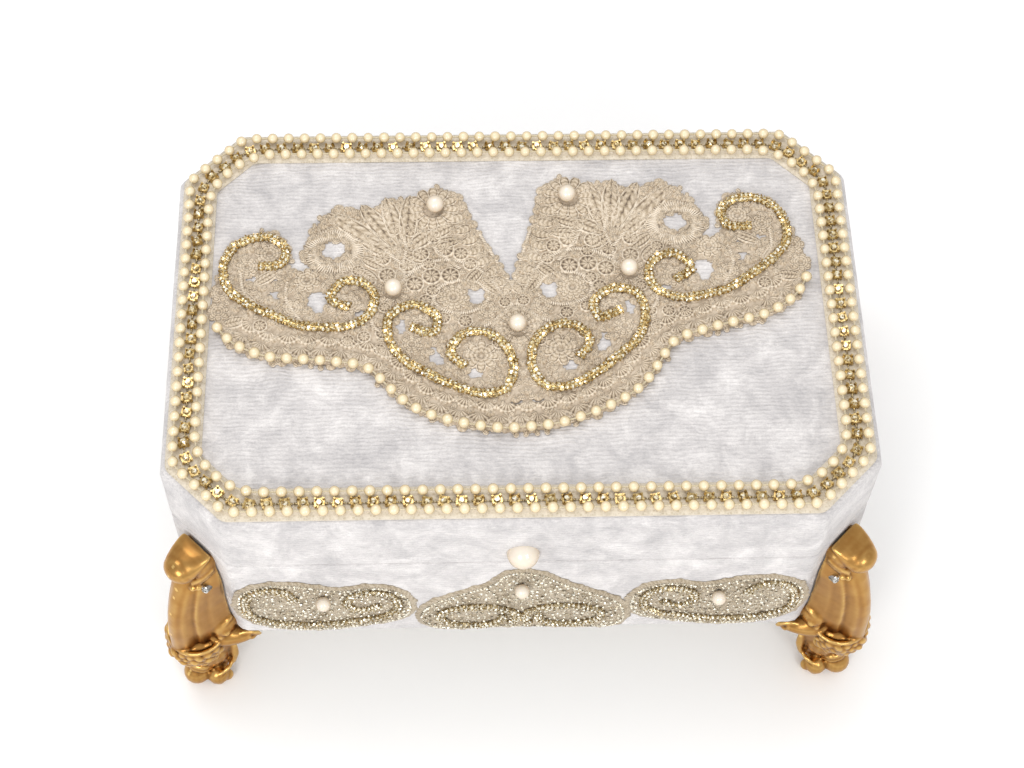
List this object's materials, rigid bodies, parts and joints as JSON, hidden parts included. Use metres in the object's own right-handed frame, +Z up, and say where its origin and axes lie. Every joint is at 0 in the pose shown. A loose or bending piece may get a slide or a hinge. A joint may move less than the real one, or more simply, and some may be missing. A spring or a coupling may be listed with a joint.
{
  "type": "hinged trinket box",
  "caption": "Velvet-covered trinket box with cut corners, a hinged lid with lace, pearl and rhinestone trim, and cast scroll feet.",
  "frame": {"origin": "on the standing surface under the middle of the box", "axes": "+Z up, the front with the pearl pull faces -Y, +X is to the right seen from the front, along the long side"},
  "size_m": [0.3188, 0.2188, 0.1638],
  "materials": {
    "felt": "felt",
    "fibreboard": "raw fibreboard",
    "gold_casting": "satin gold",
    "gold_cup_chain": "gold cups with faceted stones",
    "hinge_brass": "polished",
    "lace": "corded lace",
    "net_tape": "woven net",
    "pearl": "pearlescent",
    "satin": "smooth satin",
    "screw_steel": "zinc plated",
    "silver_cup_chain": "pale cups with faceted stones",
    "velvet": "crushed pile",
    "wadding": "soft wadding"
  },
  "bodies": {
    "box_body": {"body_front_board": "fibreboard", "body_back_board": "fibreboard", "body_left_board": "fibreboard", "body_right_board": "fibreboard", "body_corner_boards": "fibreboard", "base_board": "fibreboard", "base_cloth": "felt", "body_velvet_cover": "velvet", "body_lining": "satin", "floor_pad": "satin", "foot_front_left": "gold_casting", "foot_front_right": "gold_casting", "foot_rear_left": "gold_casting", "foot_rear_right": "gold_casting", "foot_screws": "screw_steel", "hinge_body_leaf_left": "hinge_brass", "hinge_body_leaf_right": "hinge_brass", "hinge_pin_left": "hinge_brass", "hinge_pin_right": "hinge_brass", "hinge_screws_body": "hinge_brass", "front_lace_left": "lace", "front_lace_middle": "lace", "front_lace_right": "lace", "front_chain_left": "silver_cup_chain", "front_chain_middle": "silver_cup_chain", "front_chain_right": "silver_cup_chain", "front_pearls": "pearl"},
    "lid": {"lid_front_board": "fibreboard", "lid_back_board": "fibreboard", "lid_left_board": "fibreboard", "lid_right_board": "fibreboard", "lid_corner_boards": "fibreboard", "lid_top_board": "fibreboard", "lid_wadding": "wadding", "lid_velvet_cover": "velvet", "lid_lining": "satin", "lid_inner_pad": "satin", "hinge_lid_leaf_left": "hinge_brass", "hinge_lid_leaf_right": "hinge_brass", "hinge_screws_lid": "hinge_brass", "border_tape": "net_tape", "outer_pearl_strand": "pearl", "inner_pearl_strand": "pearl", "border_rhinestones": "gold_cup_chain", "lid_lace": "lace", "pearl_swag": "pearl", "accent_pearls": "pearl", "outer_scroll_left": "gold_cup_chain", "outer_scroll_right": "gold_cup_chain", "inner_scroll_left": "gold_cup_chain", "inner_scroll_right": "gold_cup_chain", "pull_pearl": "pearl", "pull_stud": "hinge_brass"}
  },
  "joints": [
    {"name": "lid_hinge", "type": "hinge", "parent": "box_body", "child": "lid", "pos_m": [0, 0.103, 0.118], "axis": [-1, 0, 0], "range_deg": [0, 95]}
  ]
}
